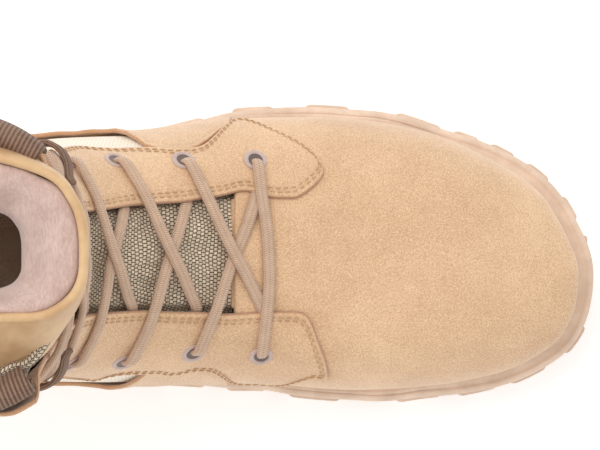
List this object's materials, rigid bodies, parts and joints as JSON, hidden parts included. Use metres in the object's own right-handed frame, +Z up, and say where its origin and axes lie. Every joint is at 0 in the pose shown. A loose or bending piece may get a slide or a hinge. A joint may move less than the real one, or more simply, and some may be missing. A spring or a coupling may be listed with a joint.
{
  "type": "combat boot",
  "caption": "Desert-tan suede combat boot for the left foot, lace-up with painted eyelets, woven cloth tongue and panels and a lugged rubber sole.",
  "frame": {"origin": "middle of the boot's box, on the floor under the sole", "axes": "+X towards the toe, +Y towards the outer (lateral) side of the left foot, +Z up"},
  "size_m": [0.3052, 0.1174, 0.2355],
  "materials": {
    "suede": "desert-tan suede, napped and matt",
    "suede_overlay": "desert-tan suede overlay with double stitching",
    "panel_weave": "cream nylon cloth",
    "tongue_weave": "coarse tan and brown basket weave",
    "lining": "pinkish padded lining cloth",
    "sole_rubber": "pinkish-tan moulded rubber, satin",
    "midsole_rubber": "pinkish-tan moulded rubber, matt",
    "insole_cloth": "brown insole cloth",
    "eyelet_paint": "pinkish-tan paint on rolled metal, semi-gloss",
    "lace_braid": "pinkish-tan flat braid",
    "webbing": "ribbed brown webbing",
    "thread": "tan stitching thread"
  },
  "bodies": {
    "root": {"outsole": "sole_rubber", "midsole": "midsole_rubber", "insole": "insole_cloth", "upper": "suede", "tongue": "tongue_weave", "heel_counter": "suede_overlay", "eyestay_lateral": "suede_overlay", "eyestay_medial": "suede_overlay", "lace_loop_lateral": "webbing", "lace_loop_medial": "webbing", "lace_bar": "lace_braid", "lace_crossing_1": "lace_braid", "lace_crossing_2": "lace_braid", "lace_crossing_3": "lace_braid", "lace_crossing_4": "lace_braid", "lace_crossing_5": "lace_braid", "lace_crossing_6": "lace_braid", "eyelet_lateral_1": "eyelet_paint", "eyelet_lateral_2": "eyelet_paint", "eyelet_lateral_3": "eyelet_paint", "eyelet_lateral_4": "eyelet_paint", "eyelet_lateral_6": "eyelet_paint", "eyelet_lateral_7": "eyelet_paint", "eyelet_medial_1": "eyelet_paint", "eyelet_medial_2": "eyelet_paint", "eyelet_medial_3": "eyelet_paint", "eyelet_medial_4": "eyelet_paint", "eyelet_medial_6": "eyelet_paint", "eyelet_medial_7": "eyelet_paint"}
  },
  "joints": []
}
